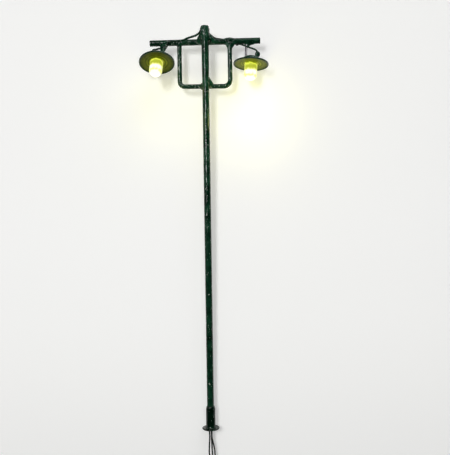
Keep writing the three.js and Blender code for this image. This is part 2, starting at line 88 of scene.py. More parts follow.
class Finish:
    """A procedural material under construction. Its patterns are laid out in the object's own space."""

    def __init__(self, name, colour, roughness, metallic=0.0):
        self.material = bpy.data.materials.new(name)
        self.material.use_nodes = True
        self.tree = self.material.node_tree
        self.shader = self.tree.nodes["Principled BSDF"]
        self.shader.inputs["Base Color"].default_value = (*colour, 1)
        self.shader.inputs["Roughness"].default_value = roughness
        self.shader.inputs["Metallic"].default_value = metallic
        self.space = self.node("ShaderNodeTexCoord").outputs["Object"]
        self.normal = None

    def node(self, kind, **settings):
        made = self.tree.nodes.new(kind)
        for key, value in settings.items():
            setattr(made, key, value)
        return made

    def link(self, output, target):
        self.tree.links.new(output, target)

    def set(self, **values):
        for key, value in values.items():
            self.shader.inputs[key.replace("_", " ")].default_value = value

    def feed(self, **outputs):
        """Links outputs to the shader's own sockets."""
        for key, output in outputs.items():
            self.link(output, self.shader.inputs[key.replace("_", " ")])

    def along(self, axis):
        """How far a point lies along one axis of the pattern's space."""
        made = self.node("ShaderNodeSeparateXYZ")
        self.link(self.space, made.inputs[0])
        return made.outputs[axis]

    def maths(self, operation, *values):
        made = self.node("ShaderNodeMath", operation=operation)
        for value, target in zip(values, made.inputs):
            self.enter(value, target)
        return made.outputs[0]

    def enter(self, value, target):
        """Links a socket to an input, or sets the input to a number or a colour."""
        if isinstance(value, bpy.types.NodeSocket):
            self.link(value, target)
        elif isinstance(value, (int, float)):
            target.default_value = value
        else:
            target.default_value = (*value, 1)

    def stretched(self, scale):
        mapping = self.node("ShaderNodeMapping")
        mapping.inputs["Scale"].default_value = scale
        self.link(self.space, mapping.inputs["Vector"])
        return mapping.outputs["Vector"]

    def speckle(self, size, detail=3.0, space=None):
        """Noise whose patches are about size millimetres across."""
        made = self.node("ShaderNodeTexNoise")
        made.inputs["Scale"].default_value = 1 / (size * MM)
        made.inputs["Detail"].default_value = detail
        self.link(space or self.space, made.inputs["Vector"])
        return made.outputs["Fac"]

    def ramp(self, factor, stops):
        made = self.node("ShaderNodeValToRGB")
        elements = made.color_ramp.elements
        while len(elements) < len(stops):
            elements.new(0.5)
        for element, (position, colour) in zip(elements, stops):
            element.position = position
            element.color = (*colour, 1)
        self.link(factor, made.inputs["Fac"])
        return made.outputs["Color"]

    def mapped(self, factor, low, high, to_low=0.0, to_high=1.0):
        made = self.node("ShaderNodeMapRange")
        ends = {"From Min": low, "From Max": high, "To Min": to_low, "To Max": to_high}
        for key, value in ends.items():
            made.inputs[key].default_value = value
        self.link(factor, made.inputs["Value"])
        return made.outputs["Result"]

    def mix(self, factor, a, b, blend="MIX"):
        made = self.node("ShaderNodeMix", data_type="RGBA", blend_type=blend)
        for value, socket in zip((factor, a, b), MIX_INPUTS):
            self.enter(value, made.inputs[socket])
        return made.outputs[MIX_RESULT]

    def bump(self, height, depth, strength=1.0):
        """Relief that is depth millimetres high. One laid over another adds to it."""
        made = self.node("ShaderNodeBump")
        made.inputs["Strength"].default_value = strength
        made.inputs["Distance"].default_value = depth * MM
        self.link(height, made.inputs["Height"])
        if self.normal is not None:
            self.link(self.normal, made.inputs["Normal"])
        self.normal = made.outputs["Normal"]
        self.link(self.normal, self.shader.inputs["Normal"])


def green_paint(name, lift=1.0, relief=1.0, wear_and_glint=0.67):
    """Dark green enamel, brushed on thick: glossy in streaks, dull between them, with a few high spots pale,
    partly worn through and partly painted glints of light. lift brightens it, relief deepens its brush marks,
    and a lower last argument makes more pale spots."""
    f = Finish(name, (0.01, 0.036, 0.02), 0.3)
    f.set(Specular_IOR_Level=0.3)
    dark = (0.001 * lift, 0.014 * lift, 0.006 * lift)
    light = (0.008 * lift, 0.05 * lift, 0.024 * lift)
    body = f.ramp(f.speckle(1.6, 4), [(0.35, dark), (0.65, light)])
    # Pale spots: paint worn through, and painted glints of light on high spots.
    rubbed_and_glints = f.mapped(f.speckle(0.34, 2, f.stretched((1, 1, 0.5))), wear_and_glint, wear_and_glint + 0.04)
    streaks = f.speckle(0.85, 3, f.stretched((1, 1, 0.4)))
    f.feed(Base_Color=f.mix(rubbed_and_glints, body, (0.26, 0.32, 0.26)),
           Roughness=f.mapped(streaks, 0.42, 0.58, 0.2, 0.07))
    f.bump(f.speckle(0.75, 2, f.stretched((1, 1, 0.45))), 0.12 * relief, 1.0)
    f.bump(f.speckle(0.2, 3), 0.012 * relief, 0.8)
    return f.material


paint = green_paint("green_paint")
thick_paint = green_paint("green_paint_on_solder", 1.25, 2.6)
# A darker copy for the base: painted shade, where less light falls.
shaded_base_paint = green_paint("green_paint_shaded_on_base", 0.35, 0.8)
# The loop's paint has more pale spots: wear, and painted glints of the lamps' light on its rods.
worn_and_glinting_paint = green_paint("green_paint_on_loop", 1.0, 1.2, 0.61)


def wire_enamel():
    f = Finish("wire_enamel", (0.006, 0.008, 0.007), 0.35)
    f.set(Specular_IOR_Level=0.35)
    body = f.ramp(f.speckle(0.9, 3), [(0.35, (0.002, 0.004, 0.003)), (0.7, (0.007, 0.011, 0.009))])
    f.feed(Base_Color=body, Roughness=f.mapped(f.speckle(0.3, 3), 0.3, 0.7, 0.28, 0.5))
    f.bump(f.speckle(0.25, 3), 0.008, 0.7)
    return f.material


enamel = wire_enamel()


def tinned():
    """Hot-dipped tin on a steel lead: bright, faintly dragged along its length, dull where flux dried."""
    f = Finish("tinned_metal", (0.7, 0.69, 0.67), 0.28, 1.0)
    body = f.ramp(f.speckle(0.5, 3), [(0.35, (0.5, 0.49, 0.47)), (0.65, (0.82, 0.81, 0.79))])
    f.feed(Base_Color=body, Roughness=f.mapped(f.speckle(0.35, 3), 0.3, 0.7, 0.18, 0.45))
    f.bump(f.speckle(0.12, 3, f.stretched((1, 1, 0.2))), 0.006, 0.7)
    return f.material


tin = tinned()


def tie_thread():
    f = Finish("tie_band", (0.012, 0.012, 0.012), 0.6)
    body = f.ramp(f.speckle(0.12, 2), [(0.35, (0.006, 0.006, 0.006)), (0.65, (0.03, 0.03, 0.03))])
    f.feed(Base_Color=body)
    f.bump(f.speckle(0.1, 2), 0.02, 0.8)
    return f.material


thread = tie_thread()

LEG_OFFSET = 1.27  # half the pitch of a diode's legs


def leg_metal():
    """A diode's leg: bright tin on its faces, and painted dark along its edges as a painted reflection of
    dark surroundings.
    """
    f = Finish("diode_leg", (0.7, 0.69, 0.67), 0.3, 1.0)
    from_centre = f.maths("ABSOLUTE", f.maths("SUBTRACT", f.maths("ABSOLUTE", f.along("X")), LEG_OFFSET * MM))
    # Painted dark reflection along the edges: dark, dull and with little gloss.
    edge = f.mapped(from_centre, 0.07 * MM, 0.13 * MM)
    face = f.ramp(f.speckle(0.4, 3), [(0.35, (0.6, 0.58, 0.6)), (0.65, (0.85, 0.82, 0.85))])
    f.feed(Metallic=f.mapped(edge, 0, 1, 1, 0),
           Specular_IOR_Level=f.mapped(edge, 0, 1, 0.5, 0.05),
           Base_Color=f.mix(edge, face, (0.03, 0.03, 0.035)),
           Roughness=f.mapped(f.speckle(0.35, 3), 0.3, 0.7, 0.3, 0.55))
    f.bump(f.speckle(0.12, 3, f.stretched((1, 1, 0.2))), 0.006, 0.7)
    return f.material


leg_tin = leg_metal()


def phosphor_grain():
    """The glowing yellow cake in the diode's cup."""
    f = Finish("phosphor", (0.8, 0.6, 0.05), 0.8)
    f.set(Emission_Strength=2.0)
    f.feed(Emission_Color=f.ramp(f.speckle(0.1, 3), [(0.3, (0.7, 0.5, 0.04)), (0.7, (1.0, 0.85, 0.2))]))
    f.bump(f.speckle(0.08, 3), 0.02, 0.8)
    return f.material


phosphor = phosphor_grain()

# ---- shape helpers


def straight(a, b, step=0.3):
    a, b = Vector(a), Vector(b)
    n = max(1, math.ceil((b - a).length / step))
    return [a.lerp(b, i / n) for i in range(n + 1)]


def merged(*shapes):
    verts, faces = [], []
    for v, f in shapes:
        faces += [tuple(i + len(verts) for i in face) for face in f]
        verts += v
    return verts, faces


def eased(profile, sizes, steps=4):
    """A profile with its corners rounded. sizes gives how far from each corner the rounding starts."""
    rounded = []
    last = len(profile) - 1
    for i, (corner, size) in enumerate(zip(profile, sizes)):
        c = Vector(corner)
        if not size or i in (0, last):
            rounded.append(tuple(c))
            continue
        a, b = (c + (Vector(profile[k]) - c).normalized() * size for k in (i - 1, i + 1))
        for k in range(steps + 1):
            t = k / steps
            rounded.append(tuple(a * (1 - t) ** 2 + c * 2 * t * (1 - t) + b * t ** 2))
    return rounded


def split(a, b, step):
    """The points between two profile points, no more than step apart, without the last."""
    return [tuple(point) for point in straight(a, b, step)[:-1]]


def divided(profile, step):
    """A profile's points with more between them, no more than step apart, without the last."""
    return [point for a, b in zip(profile, profile[1:]) for point in split(a, b, step)]


def ring_faces(sides, rows):
    """The faces between rows of sides points each, one row after another."""
    faces = []
    for i in range(rows - 1):
        for k in range(sides):
            n = (k + 1) % sides
            faces.append((i * sides + k, i * sides + n, (i + 1) * sides + n, (i + 1) * sides + k))
    return faces


def turned(profile, sides=48, closed=False):
    """A solid turned about Z. The profile is (radius, height) pairs. A closed one joins its start."""
    verts, rows, faces = [], [], []
    for r, z in profile:
        if r < 1e-6:
            rows.append([len(verts)] * sides)
            verts.append(Vector((0, 0, z)))
            continue
        rows.append(list(range(len(verts), len(verts) + sides)))
        for i in range(sides):
            a = 2 * math.pi * i / sides
            verts.append(Vector((r * math.cos(a), r * math.sin(a), z)))
    pairs = list(zip(rows, rows[1:] + rows[:1] if closed else rows[1:]))
    for low, high in pairs:
        for i in range(sides):
            j = (i + 1) % sides
            corners = list(dict.fromkeys((low[i], low[j], high[j], high[i])))
            if len(corners) > 2:
                faces.append(tuple(corners))
    return verts, faces


EDGE_STEPS = 3


def swept(points, radius, sides=16, edge=0.0):
    """A round rod along a line of points. edge rounds off its two ends. radius is a number, or a function of
    the way along the rod, from 0 to 1."""
    points = [Vector(p) for p in points]
    count = len(points)
    radius = radius if callable(radius) else (lambda t, r=radius: r)
    ways = [(points[min(i + 1, count - 1)] - points[max(i - 1, 0)]).normalized() for i in range(count)]
    side = ways[0].orthogonal().normalized()
    rows = []
    for i, (p, way) in enumerate(zip(points, ways)):
        side = (side - way * side.dot(way)).normalized()
        rows.append((p, way, side, radius(i / (count - 1))))
    if edge:
        ends = []
        for (p, way, across, r), sign in ((rows[0], -1), (rows[-1], 1)):
            ring = []
            for k in range(1, EDGE_STEPS + 1):
                a = math.pi / 2 * k / EDGE_STEPS
                place = p + way * sign * edge * (math.sin(a) - 1)
                ring.append((place, way, across, r - edge * (1 - math.cos(a))))
            ends.append(ring)
        rows[0] = (rows[0][0] + rows[0][1] * edge, *rows[0][1:])
        rows[-1] = (rows[-1][0] - rows[-1][1] * edge, *rows[-1][1:])
        rows = ends[0][::-1] + rows + ends[1]
    verts = []
    for p, way, across, r in rows:
        up = way.cross(across)
        for k in range(sides):
            a = 2 * math.pi * k / sides
            verts.append(p + (across * math.cos(a) + up * math.sin(a)) * r)
    faces = ring_faces(sides, len(rows))
    faces.append(tuple(range(sides))[::-1])
    faces.append(tuple(len(verts) - sides + k for k in range(sides)))
    return verts, faces


SMOOTH_STEPS = 6  # from one point of a route to the next


def smoothed(points, between=SMOOTH_STEPS):
    """A centripetal Catmull-Rom line through points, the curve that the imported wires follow."""
    p = [Vector(q) for q in points]
    p = [p[0] * 2 - p[1], *p, p[-1] * 2 - p[-2]]
    line = []
    for i in range(1, len(p) - 2):
        knots = [0.0]
        for a, b in zip(p[i - 1:i + 3], p[i:i + 3]):
            knots.append(knots[-1] + math.sqrt((b - a).length))
        t0, t1, t2, t3 = knots
        for k in range(between):
            t = t1 + (t2 - t1) * k / between
            a1 = p[i - 1].lerp(p[i], (t - t0) / (t1 - t0))
            a2 = p[i].lerp(p[i + 1], (t - t1) / (t2 - t1))
            a3 = p[i + 1].lerp(p[i + 2], (t - t2) / (t3 - t2))
            b1 = a1.lerp(a2, (t - t0) / (t2 - t0))
            b2 = a2.lerp(a3, (t - t1) / (t3 - t1))
            line.append(b1.lerp(b2, (t - t1) / (t2 - t1)))
    return line + [p[-2]]


def hull(*balls):
    """The convex skin round some balls, each given as (centre, radius)."""
    bm = bmesh.new()
    for centre, radius in balls:
        place = Matrix.Translation(Vector(centre))
        bmesh.ops.create_icosphere(bm, subdivisions=3, radius=radius, matrix=place)
    made = bmesh.ops.convex_hull(bm, input=bm.verts)
    inside = set(made["geom_interior"]) | set(made["geom_unused"])
    inside = [part for part in inside if isinstance(part, bmesh.types.BMVert)]
    bmesh.ops.delete(bm, geom=inside, context="VERTS")
    bm.verts.index_update()
    shape = [v.co.copy() for v in bm.verts], [tuple(v.index for v in f.verts) for f in bm.faces]
    bm.free()
    return shape


def fused(shape, grain, passes):
    """One skin round overlapping closed shapes. Smoothing it fills the creases between them."""
    mesh = bpy.data.meshes.new("rough")
    mesh.from_pydata(shape[0], [], shape[1])
    rough = shown("rough", mesh)
    remesh = rough.modifiers.new("skin", "REMESH")
    remesh.mode, remesh.voxel_size = "VOXEL", grain
    smooth = rough.modifiers.new("smooth", "SMOOTH")
    smooth.factor, smooth.iterations = 0.5, passes
    done = rough.evaluated_get(bpy.context.evaluated_depsgraph_get()).to_mesh()
    result = [v.co.copy() for v in done.vertices], [tuple(f.vertices) for f in done.polygons]
    bpy.data.objects.remove(rough)
    bpy.data.meshes.remove(mesh)
    return result


def skin_of(shape, scale=1):
    """The shape as a mesh to work on, with its faces turned outwards."""
    bm = bmesh.new()
    verts = [bm.verts.new(v * scale) for v in shape[0]]
    for face in shape[1]:
        bm.faces.new([verts[i] for i in face])
    bmesh.ops.recalc_face_normals(bm, faces=bm.faces)
    return bm


def uneven(shape, amount, size, seed, stretch=(1, 1, 1)):
    """The shape with its surface raised and sunk by about amount, in patches about size across."""
    bm = skin_of(shape)
    bm.normal_update()
    offset = Vector((7.3, 3.1, 1.7)) * seed
    moved_verts = []
    for v in bm.verts:
        at = Vector(c * s for c, s in zip(v.co, stretch)) / size + offset
        moved_verts.append(v.co + v.normal * amount * (noise.noise(at) + 0.5 * noise.noise(at * 2.3)))
    bm.free()
    return moved_verts, shape[1]


def piece(name, shape, material, slot, *nodes, place=None):
    """A finished piece on the frame's one body, in place of the CAD nodes listed after slot, which it hides.
    slot is not used.
    """
    mesh = bpy.data.meshes.new(name)
    bm = skin_of(shape, MM)
    for face in bm.faces:
        face.smooth = True
    bm.to_mesh(mesh)
    bm.free()
    made = shown(name, mesh)
    if place is not None:
        turn = place.to_quaternion().to_matrix().to_4x4()
        made.matrix_world = Matrix.Translation(place.to_translation() * MM) @ turn
    mesh.materials.append(material)
    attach(made, "root")
    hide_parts(*nodes)
    return made


def painted(name, shape, *nodes, coat=paint, place=None):
    return piece(name, shape, coat, "green_paint", *nodes, place=place)


def box_mm(node):
    low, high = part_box(node)
    return low / MM, high / MM


# ---- free wires

WIRE_RADIUS = 0.175
TAIL_START = -0.15  # where the free length of each wire starts, below the bore
HANK_Z = -15.9
HANK_HALF_RUN = 3.5
HANK_WAIST = 1.5  # how far the tie draws the two runs in
HANK_TURN = 3.88  # radius of the outermost turn's folds
HANK_PITCH = 0.36  # how much tighter each turn lies inside the last
HANK_JOIN = math.radians(50)  # where on the upper fold the wires reach the hank
HANK_TURNS = 4  # the last of them ends on the left run, short of the top
TURN_POINTS = 28
TIP_X = 0.2
TIP_TOP = HANK_Z + 2.7
TIP_LENGTH = 2
TIP_RADIUS = 0.13
LAST_RISE = 3.3  # where the last turn leaves the left run, above the hank's middle
LAST_FOLD_STEPS = 9

# For each wire: where it lies in the bore, how far it fans out sideways, and its lane in the hank's depth.
TAILS = {
    "left": ((-0.3, -0.1), -0.44, -0.37),
    "return": ((0.15, -0.3), 0.23, 0.0),
    "right": ((0.2, 0.28), 0.78, 0.37),
}


def tail_points(bore, fan, lane):
    x, y = bore
    return [
        (x, y, TAIL_START),
        (x, y, -1),
        (x * 0.95, y * 0.95, -2),
        (x + (fan - x) * 0.45, y * 0.6 + lane * 0.2, -3.3),
        (fan, y * 0.2 + lane * 0.6, -4.86),
        (fan + 0.12, lane * 0.9, -6.3),
        (fan * 0.5 + 0.62, lane, -7.5),
        (fan * 0.2 + 1.15, lane, -8.35),
    ]


FOLD_LENGTH = math.pi * HANK_TURN
LAP_LENGTH = 2 * (FOLD_LENGTH + 2 * HANK_HALF_RUN)


def on_turn(radius, way, lane):
    """A point on a turn of the hank. way 0 is the top of the upper fold. It runs down the right side,
    round the lower fold and up the left, and comes back to the top at way 1."""
    run = 2 * HANK_HALF_RUN
    s = (way % 1) * LAP_LENGTH
    if s < FOLD_LENGTH / 2 or s > LAP_LENGTH - FOLD_LENGTH / 2:
        a = math.pi / 2 - (s if s < FOLD_LENGTH / 2 else s - LAP_LENGTH) / HANK_TURN
        return radius * math.cos(a), lane, HANK_Z + HANK_HALF_RUN + radius * math.sin(a)
    if FOLD_LENGTH / 2 + run < s < 1.5 * FOLD_LENGTH + run:
        a = -(s - FOLD_LENGTH / 2 - run) / HANK_TURN
        return radius * math.cos(a), lane, HANK_Z - HANK_HALF_RUN + radius * math.sin(a)
    going_down = s < FOLD_LENGTH + run
    if going_down:
        z = HANK_HALF_RUN - (s - FOLD_LENGTH / 2)
    else:
        z = s - 1.5 * FOLD_LENGTH - run - HANK_HALF_RUN
    drawn_in = HANK_WAIST / 2 * (1 + math.cos(math.pi * z / HANK_HALF_RUN))
    return (1 if going_down else -1) * (radius - drawn_in), lane, HANK_Z + z


def wire_line(bore, fan, lane):
    """The whole of a free wire: its tail, the turns of the hank, and a last small fold into its window."""
    start = (math.pi / 2 - HANK_JOIN) * HANK_TURN / LAP_LENGTH
    left_middle = 1.5 * FOLD_LENGTH + 3 * HANK_HALF_RUN
    turns = HANK_TURNS - 1 + (left_middle + LAST_RISE) / LAP_LENGTH - start
    count = round(turns * TURN_POINTS)
    points = smoothed(tail_points(bore, fan, lane), 3)
    for i in range(count + 1):
        gone = turns * i / count
        points.append(Vector(on_turn(HANK_TURN - HANK_PITCH * gone, start + gone, lane)))
    last = points[-1]
    small = (TIP_X - last.x) / 2
    for i in range(1, LAST_FOLD_STEPS + 1):
        a = math.pi * (1 - i / LAST_FOLD_STEPS)
        points.append(last + Vector((small + small * math.cos(a), 0, small * math.sin(a))))
    points.append(Vector((TIP_X, lane, TIP_TOP)))
    return points


def curve_piece(name, points, radius, material):
    data = bpy.data.curves.new(name, "CURVE")
    data.dimensions = "3D"
    data.bevel_depth = radius * MM
    data.bevel_resolution = 3
    data.use_fill_caps = True
    spline = data.splines.new("POLY")
    spline.points.add(len(points) - 1)
    for point, place in zip(spline.points, points):
        point.co = (*(place * MM), 1)
    spline.use_smooth = True
    data.materials.append(material)
    return shown(name, data)


def add_free_wires():
    for name, tail in TAILS.items():
        line = wire_line(*tail)
        wire = curve_piece(f"free_wire_{name}", line, WIRE_RADIUS, enamel)
        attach(wire, "root")
        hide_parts(f"wire_tail_{name}", "wire_hank")
        lane = tail[2]
        core = straight((TIP_X, lane, TIP_TOP + 0.4), (TIP_X, lane, TIP_TOP - TIP_LENGTH), 0.2)
        shape = uneven(swept(core, TIP_RADIUS, 16, edge=0.06), 0.015, 0.3, 41)
        tip = piece(f"wire_end_{name}", shape, tin, "tinned_lead", f"wire_tip_{name}")


TIE_HEIGHT = 1
TIE_TURNS = 5
TIE_STEPS = 60  # points in one turn
TIE_SQUARENESS = 8  # 2 would make each turn an ellipse


def add_tie():
    """A thread round the waist of the hank, wound side by side and drawn tight."""
    low, high = box_mm("hank_tie")
    thread_radius = TIE_HEIGHT / TIE_TURNS / 2
    half_x, half_y = high.x - thread_radius, high.y - thread_radius
    line = []
    for i in range(TIE_TURNS * TIE_STEPS + 1):
        a = 2 * math.pi * i / TIE_STEPS
        across, along = math.cos(a), math.sin(a)
        spread = (abs(across) / half_x) ** TIE_SQUARENESS + (abs(along) / half_y) ** TIE_SQUARENESS
        reach = 1 / spread ** (1 / TIE_SQUARENESS)
        z = low.z + thread_radius + (TIE_HEIGHT - 2 * thread_radius) * i / (TIE_TURNS * TIE_STEPS)
        line.append(Vector((reach * across, reach * along, z)))
    shape = swept(line, thread_radius * 1.05, 10, edge=0.03)
    piece("hank_tie_thread", shape, thread, "tie_band", "hank_tie")


# ---- mast and base

COAT = 0.06  # thickness of the paint on every rod

mast_high = box_mm("mast_tube")[1]
MAST_RADIUS = mast_high.x + COAT
MAST_TOP = mast_high.z
HEAD_COAT = 0.05  # how much thicker the paint is at the mast's head
HEAD_COAT_FROM = 80  # it thickens from this height
HEAD_COAT_OVER = 5  # over this length
SEAL_TOP = box_mm("mast_seal")[1].z
BORE_RADIUS = 0.55


def add_mast():
    rim = 0.06
    outside = split((MAST_RADIUS, rim), (MAST_RADIUS, MAST_TOP - rim), 0.3)
    corners = [(MAST_RADIUS, MAST_TOP - rim), (MAST_RADIUS - rim, MAST_TOP), (BORE_RADIUS, MAST_TOP),
               (BORE_RADIUS, 0), (MAST_RADIUS - rim, 0)]
    shape = uneven(turned(outside + corners, 32, closed=True), 0.012, 0.9, 1, (1, 1, 0.35))
    for v in shape[0]:
        if math.hypot(v.x, v.y) > BORE_RADIUS + 0.1:
            share = min(1, max(0, (v.z - HEAD_COAT_FROM) / HEAD_COAT_OVER))
            swell = 1 + HEAD_COAT / MAST_RADIUS * share
            v.x, v.y = v.x * swell, v.y * swell
    painted("mast", shape, "mast_tube")


FILLET_STEPS = 6


def add_base():
    """The flange, a little dished out of true, the sleeve that tapers at its top, and the solder between."""
    flange_high = box_mm("base_flange")[1]
    radius, thickness = flange_high.x, flange_high.z
    seat = MAST_RADIUS + 0.02
    profile = eased(
        [(seat, 0.02), (radius - 0.05, 0.0), (radius, 0.12), (radius, thickness - 0.05),
         (radius - 0.16, thickness), (seat, thickness), (seat, 0.02)],
        [0, 0.06, 0.05, 0.09, 0.08, 0, 0])
    disc = turned(profile[:-1], 64, closed=True)
    dished = []
    for v in disc[0]:
        around = math.atan2(v.y, v.x)
        out = (math.hypot(v.x, v.y) - seat) / (radius - seat)
        lift = 0.05 * out * max(0, v.z) / thickness * math.sin(2 * around + 0.8)
        dished.append(v + Vector((0, 0, lift)))
    flange = uneven((dished, disc[1]), 0.012, 0.7, 2)
    painted("base_flange_disc", flange, "base_flange", coat=shaded_base_paint)

    sleeve_low, sleeve_high = box_mm("base_sleeve")
    outer = sleeve_high.x + COAT
    taper = 0.55
    shoulder = sleeve_high.z - taper
    outline = eased(
        [(seat, sleeve_low.z), (outer, sleeve_low.z), (outer, shoulder), (seat + 0.06, sleeve_high.z),
         (seat, sleeve_high.z), (seat, sleeve_low.z)],
        [0, 0.05, 0.3, 0.12, 0, 0])
    sleeve = uneven(turned(divided(outline, 0.3), 40, closed=True), 0.018, 1.1, 3, (1, 1, 0.5))
    painted("base_sleeve_tube", sleeve, "base_sleeve", coat=shaded_base_paint)

    solder_low, solder_high = box_mm("base_solder")
    reach, top = solder_high.x, solder_high.z
    curve = [(outer - 0.05, solder_low.z - 0.03)]
    for i in range(FILLET_STEPS + 1):
        a = math.pi / 2 * i / FILLET_STEPS
        out, up = 1 - math.sin(a), 1 - math.cos(a)
        curve.append((outer + (reach - outer) * out, thickness + (top - thickness) * up))
    curve.append((outer - 0.05, top + 0.02))
    ring = uneven(turned(curve, 64, closed=True), 0.03, 0.6, 4)
    painted("base_solder_fillet", ring, "base_solder", coat=shaded_base_paint)


add_free_wires()
add_tie()
add_mast()
add_base()

# ---- crossbar and loop

bar_low, bar_high = box_mm("crossbar")
BAR_RADIUS = (bar_high.y - bar_low.y) / 2
BAR_Y = (bar_high.y + bar_low.y) / 2
BAR_LEFT = Vector((bar_low.x, BAR_Y, bar_low.z + BAR_RADIUS))
BAR_RIGHT = Vector((bar_high.x, BAR_Y, bar_high.z - BAR_RADIUS))


def bar_point(x):
    return BAR_LEFT.lerp(BAR_RIGHT, (x - BAR_LEFT.x) / (BAR_RIGHT.x - BAR_LEFT.x))


def add_crossbar():
    shape = swept(straight(BAR_LEFT, BAR_RIGHT, 0.25), BAR_RADIUS + COAT, 32, edge=0.07)
    painted("crossbar_rod", uneven(shape, 0.012, 0.9, 5, (0.4, 1, 1)), "crossbar")


loop_low, loop_high = box_mm("loop_frame")
LOOP_RADIUS = (loop_high.y - loop_low.y) / 2
LOOP_Y = (loop_high.y + loop_low.y) / 2
LOOP_LEFT = loop_low.x + LOOP_RADIUS
LOOP_RIGHT = loop_high.x - LOOP_RADIUS
LOOP_FOOT = loop_low.z + LOOP_RADIUS
LOOP_BENDS = (1.2, 1.45)  # the radius of the left bend and of the right one
LOOP_BEND_STEPS = 8
LOOP_TO_BAR = 0.6  # how far below the bar's axis the loop's two ends are


def loop_bend(x, radius, start):
    bend = []
    for i in range(LOOP_BEND_STEPS + 1):
        a = start + math.pi / 2 * i / LOOP_BEND_STEPS
        bend.append(Vector((x + radius * math.cos(a), LOOP_Y, LOOP_FOOT + radius + radius * math.sin(a))))
    return bend


def loop_line():
    """The loop's axis: down its left side, along its foot and up its right side."""
    left, right = LOOP_BENDS
    left_bend = loop_bend(LOOP_LEFT + left, left, math.pi)
    right_bend = loop_bend(LOOP_RIGHT - right, right, -math.pi / 2)
    left_end = (LOOP_LEFT, LOOP_Y, bar_point(LOOP_LEFT).z - LOOP_TO_BAR)
    right_end = (LOOP_RIGHT, LOOP_Y, bar_point(LOOP_RIGHT).z - LOOP_TO_BAR)
    line = straight(left_end, (LOOP_LEFT, LOOP_Y, LOOP_FOOT + left)) + left_bend[1:]
    line += straight(line[-1], right_bend[0])[1:-1] + right_bend
    return line + straight(line[-1], right_end)[1:]


def add_loop():
    shape = uneven(swept(loop_line(), LOOP_RADIUS + COAT, 28), 0.014, 0.8, 6, (0.6, 1, 0.6))
    painted("loop_rod", shape, "loop_frame", coat=worn_and_glinting_paint)


add_crossbar()
add_loop()

# ---- lamps

SHADE_RADIUS = 4.12
SHADE_HOLE = 1.55
RIM_PAINT = 0.24  # how far in from its edge the shade's underside is plain green
LED_RADIUS = 1.5
LED_FLANGE_RADIUS = 1.8
LED_SEAT = 0.58  # where the diode's flange rests on the shade
LED_FLANGE = 1.0
LED_HEIGHT = 5.3
BODY_TOP = LED_SEAT + LED_FLANGE
DOME_Z = BODY_TOP - LED_HEIGHT + LED_RADIUS
DOME_STEPS = 12
LEG_HALF = 0.27  # half the side of a leg, with its paint
LEG_CORNER = 0.13  # the rounding of its edges
FEED_LEG_TOP = 3.2
BALL_OUT = 0.12
BALL_Z = 2.7
BEND_LOW = BODY_TOP + 0.2  # the hanging leg is bent between these two heights
BEND_HIGH = BODY_TOP + 1.1


def points_of(node):
    return np.array([v.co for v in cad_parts[node].data.vertices]) / MM


def frame_of(points, rank):
    """The middle of some points and one of their principal axes, turned upwards."""
    middle = points.mean(0)
    up = Vector(np.linalg.svd(points - middle)[2][rank])
    return Vector(middle), up if up.z > 0 else -up


def upright(origin, across, up):
    """A frame at origin with +Z along up and +X as near as may be to across."""
    across = (across - up * across.dot(up)).normalized()
    return Matrix.Translation(origin) @ Matrix((across, up.cross(across), up)).transposed().to_4x4()


class Lamp:
    """Where a lamp hangs. The diode's frame has +Z up to the bar and +X along the row of its two legs. Its
    origin is where the shade's rim would be if the shade sat square. The shade has a frame of its own."""

    def __init__(self, side):
        self.side = side
        legs = {leg: Vector(points_of(f"lamp_{side}_{leg}_lead").mean(0)) for leg in ("cup", "feed")}
        self.hanger = 1 if legs["cup"].x > legs["feed"].x else -1
        lens = points_of(f"lamp_{side}_lens")
        middle, up = frame_of(lens, 0)
        foot = min((Vector(p) - middle).dot(up) for p in lens)
        origin = middle + up * (foot - (BODY_TOP - LED_HEIGHT))
        self.place = upright(origin, Vector((1, 0, 0)), up)
        leg = [self.place.inverted() @ Vector(p) for p in points_of(f"lamp_{side}_cup_lead")]
        self.head = max(p.z for p in leg)
        at_head = [p.x for p in leg if p.z > self.head - 0.1]
        self.bend = (max(at_head) + min(at_head)) / 2 - self.hanger * LEG_OFFSET
        shade = points_of(f"lamp_{side}_shade")
        middle, up = frame_of(shade, 2)
        rim = min((Vector(p) - middle).dot(up) for p in shade)
        self.shade_place = upright(middle + up * rim, Vector((1, 0, 0)), up)

    def point(self, x, y, z):
        return self.place @ Vector((x, y, z))

    def ball(self):
        return self.point(-self.hanger * (LEG_OFFSET + BALL_OUT), 0, BALL_Z)

    def name(self, thing):
        return f"lamp_{self.side}_{thing}"


lamps = {side: Lamp(side) for side in ("left", "right")}


